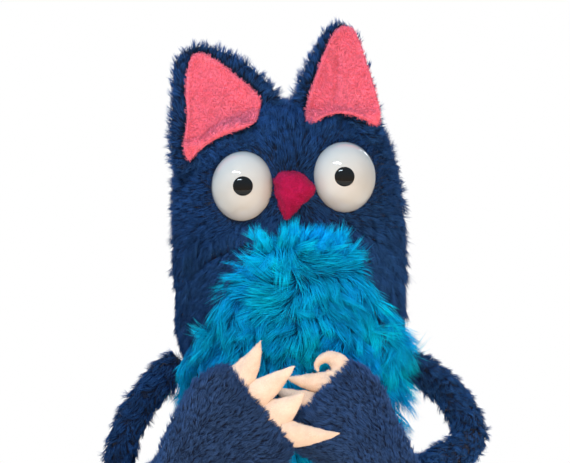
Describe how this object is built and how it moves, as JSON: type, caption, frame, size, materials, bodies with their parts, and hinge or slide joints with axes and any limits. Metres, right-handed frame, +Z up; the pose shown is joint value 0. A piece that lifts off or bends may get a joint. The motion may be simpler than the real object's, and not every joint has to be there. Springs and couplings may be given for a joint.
{
  "type": "moving mouth hand puppet",
  "caption": "Furry cat-eared monster hand puppet with a hinged mouth, domed eyes, stuffed jointed arms and clawed mittens over an open arm sleeve.",
  "frame": {"origin": "middle of the arm opening, in the plane of the hem", "axes": "+Z up from the hem to the ears, the puppet faces -Y, +X on the right of a viewer who faces it; left in a name is -X"},
  "size_m": [0.27, 0.1942, 0.456],
  "materials": {
    "navy_fur": "medium-pile plush fur fabric, navy blue",
    "mitten_fur": "short dense plush fur fabric, violet navy",
    "turquoise_fur": "long-pile shaggy fur fabric, turquoise to cyan",
    "pink_fleece": "brushed fleece, salmon pink",
    "magenta_felt": "wool felt, magenta",
    "cream_felt": "stuffed felt, cream white",
    "eye_white": "polished moulded plastic, white",
    "pupil_black": "polished moulded plastic, black",
    "foam": "open-cell upholstery foam, pale cream",
    "stuffing": "polyester fibre filling, white",
    "lining_cotton": "plain-weave cotton, dark blue",
    "mouth_felt": "wool felt, dark wine",
    "tongue_felt": "wool felt, rose pink",
    "palate_board": "flexible sheet board, dark grey",
    "webbing": "woven elastic webbing, black",
    "eye_hardware": "moulded nylon, natural white"
  },
  "bodies": {
    "torso": {"body_fur": "navy_fur", "chest_fur": "turquoise_fur", "body_lining": "lining_cotton", "hem_band": "lining_cotton"},
    "neck": {"neck_binding": "lining_cotton"},
    "head": {"head_fur": "navy_fur", "skull_foam": "foam", "upper_mouth_felt": "mouth_felt", "upper_palate": "palate_board", "mouth_hinge_tape": "webbing", "finger_loop": "webbing", "nose": "magenta_felt", "eye_left": "eye_white", "eye_right": "eye_white", "pupil_left": "pupil_black", "pupil_right": "pupil_black", "eye_stem_left": "eye_hardware", "eye_stem_right": "eye_hardware", "eye_washer_left": "eye_hardware", "eye_washer_right": "eye_hardware", "ear_fleece_left": "pink_fleece", "ear_fleece_right": "pink_fleece", "ear_foam_left": "foam", "ear_foam_right": "foam", "ear_fur_left": "navy_fur", "ear_fur_right": "navy_fur"},
    "jaw": {"jaw_fur": "turquoise_fur", "jaw_foam": "foam", "lower_mouth_felt": "mouth_felt", "lower_palate": "palate_board", "tongue": "tongue_felt", "thumb_loop": "webbing"},
    "upper_arm_left": {"upper_arm_fur_left": "navy_fur", "upper_arm_stuffing_left": "stuffing"},
    "forearm_left": {"forearm_fur_left": "navy_fur", "forearm_stuffing_left": "stuffing"},
    "hand_left": {"hand_fur_left": "mitten_fur", "hand_stuffing_left": "stuffing", "claw_left_1": "cream_felt", "claw_left_2": "cream_felt", "claw_left_3": "cream_felt", "claw_left_4": "cream_felt"},
    "upper_arm_right": {"upper_arm_fur_right": "navy_fur", "upper_arm_stuffing_right": "stuffing"},
    "forearm_right": {"forearm_fur_right": "navy_fur", "forearm_stuffing_right": "stuffing"},
    "hand_right": {"hand_fur_right": "mitten_fur", "hand_stuffing_right": "stuffing", "claw_right_1": "cream_felt", "claw_right_2": "cream_felt", "claw_right_3": "cream_felt", "claw_right_4": "cream_felt"}
  },
  "joints": [
    {"name": "head_turn", "type": "hinge", "parent": "torso", "child": "neck", "pos_m": [0, 0, 0.255], "axis": [0, 0, 1], "range_deg": [-25, 25]},
    {"name": "head_nod", "type": "hinge", "parent": "neck", "child": "head", "pos_m": [0, 0, 0.255], "axis": [1, 0, 0], "range_deg": [-12, 12]},
    {"name": "jaw_open", "type": "hinge", "parent": "head", "child": "jaw", "pos_m": [0, 0, 0.255], "axis": [1, 0, 0], "range_deg": [0, 35]},
    {"name": "shoulder_lift_left", "type": "hinge", "parent": "torso", "child": "upper_arm_left", "pos_m": [-0.087, 0.004, 0.211], "axis": [0, 1, 0], "range_deg": [-5, 75]},
    {"name": "elbow_open_left", "type": "hinge", "parent": "upper_arm_left", "child": "forearm_left", "pos_m": [-0.122, -0.02, 0.132], "axis": [0, 1, 0], "range_deg": [0, 60]},
    {"name": "wrist_wave_left", "type": "hinge", "parent": "forearm_left", "child": "hand_left", "pos_m": [-0.093, -0.115, 0.135], "axis": [0, 1, 0], "range_deg": [-15, 25]},
    {"name": "shoulder_lift_right", "type": "hinge", "parent": "torso", "child": "upper_arm_right", "pos_m": [0.092, 0.004, 0.213], "axis": [0, -1, 0], "range_deg": [-5, 75]},
    {"name": "elbow_open_right", "type": "hinge", "parent": "upper_arm_right", "child": "forearm_right", "pos_m": [0.128, -0.026, 0.163], "axis": [0, -1, 0], "range_deg": [0, 60]},
    {"name": "wrist_wave_right", "type": "hinge", "parent": "forearm_right", "child": "hand_right", "pos_m": [0.082, -0.088, 0.137], "axis": [0, -1, 0], "range_deg": [-15, 25]}
  ]
}
